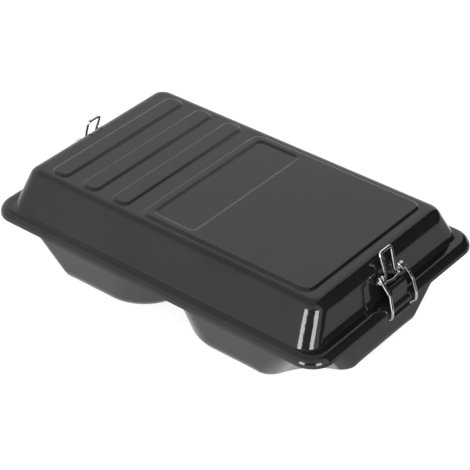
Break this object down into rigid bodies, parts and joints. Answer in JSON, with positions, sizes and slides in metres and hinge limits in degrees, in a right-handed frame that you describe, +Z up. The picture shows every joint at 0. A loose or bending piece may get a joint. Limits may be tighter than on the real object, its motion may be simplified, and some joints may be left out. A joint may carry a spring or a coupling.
{
  "type": "metal lunch box",
  "caption": "Low rectangular lunch box of black enamelled sheet: a tray with deep cut-corner wells, an embossed lift-off lid and a spring-wire latch at each end.",
  "frame": {"origin": "middle of the box on the surface that the wells stand on", "axes": "+X along the length towards the right latch, +Y towards the back, +Z up"},
  "size_m": [0.285, 0.181, 0.0793],
  "materials": {
    "tray_enamel": "glossy black enamel",
    "lid_enamel": "glossy black enamel",
    "strap_enamel": "glossy black enamel",
    "plated_wire": "bright plated"
  },
  "bodies": {
    "base": {"base_tray": "tray_enamel", "right_anchor": "strap_enamel", "left_anchor": "strap_enamel"},
    "lid": {"lid": "lid_enamel", "right_catch": "strap_enamel", "left_catch": "strap_enamel"},
    "right_bail": {"right_bail": "plated_wire"},
    "left_bail": {"left_bail": "plated_wire"},
    "right_tab": {"right_tab": "plated_wire"},
    "left_tab": {"left_tab": "plated_wire"}
  },
  "joints": [
    {"name": "lid_lift", "type": "slide", "parent": "base", "child": "lid", "axis": [0, 0, 1], "range_m": [0, 0.3]},
    {"name": "right_bail_hinge", "type": "hinge", "parent": "base", "child": "right_bail", "pos_m": [0.1384, 0, 0.0364], "axis": [0, 1, 0], "range_deg": [0, 150]},
    {"name": "left_bail_hinge", "type": "hinge", "parent": "base", "child": "left_bail", "pos_m": [-0.1384, 0, 0.0364], "axis": [0, -1, 0], "range_deg": [0, 150]},
    {"name": "right_tab_hinge", "type": "hinge", "parent": "right_bail", "child": "right_tab", "pos_m": [0.12962, 0, 0.0614], "axis": [0, 1, 0], "range_deg": [0, 95]},
    {"name": "left_tab_hinge", "type": "hinge", "parent": "left_bail", "child": "left_tab", "pos_m": [-0.12962, 0, 0.0614], "axis": [0, -1, 0], "range_deg": [0, 95]}
  ]
}
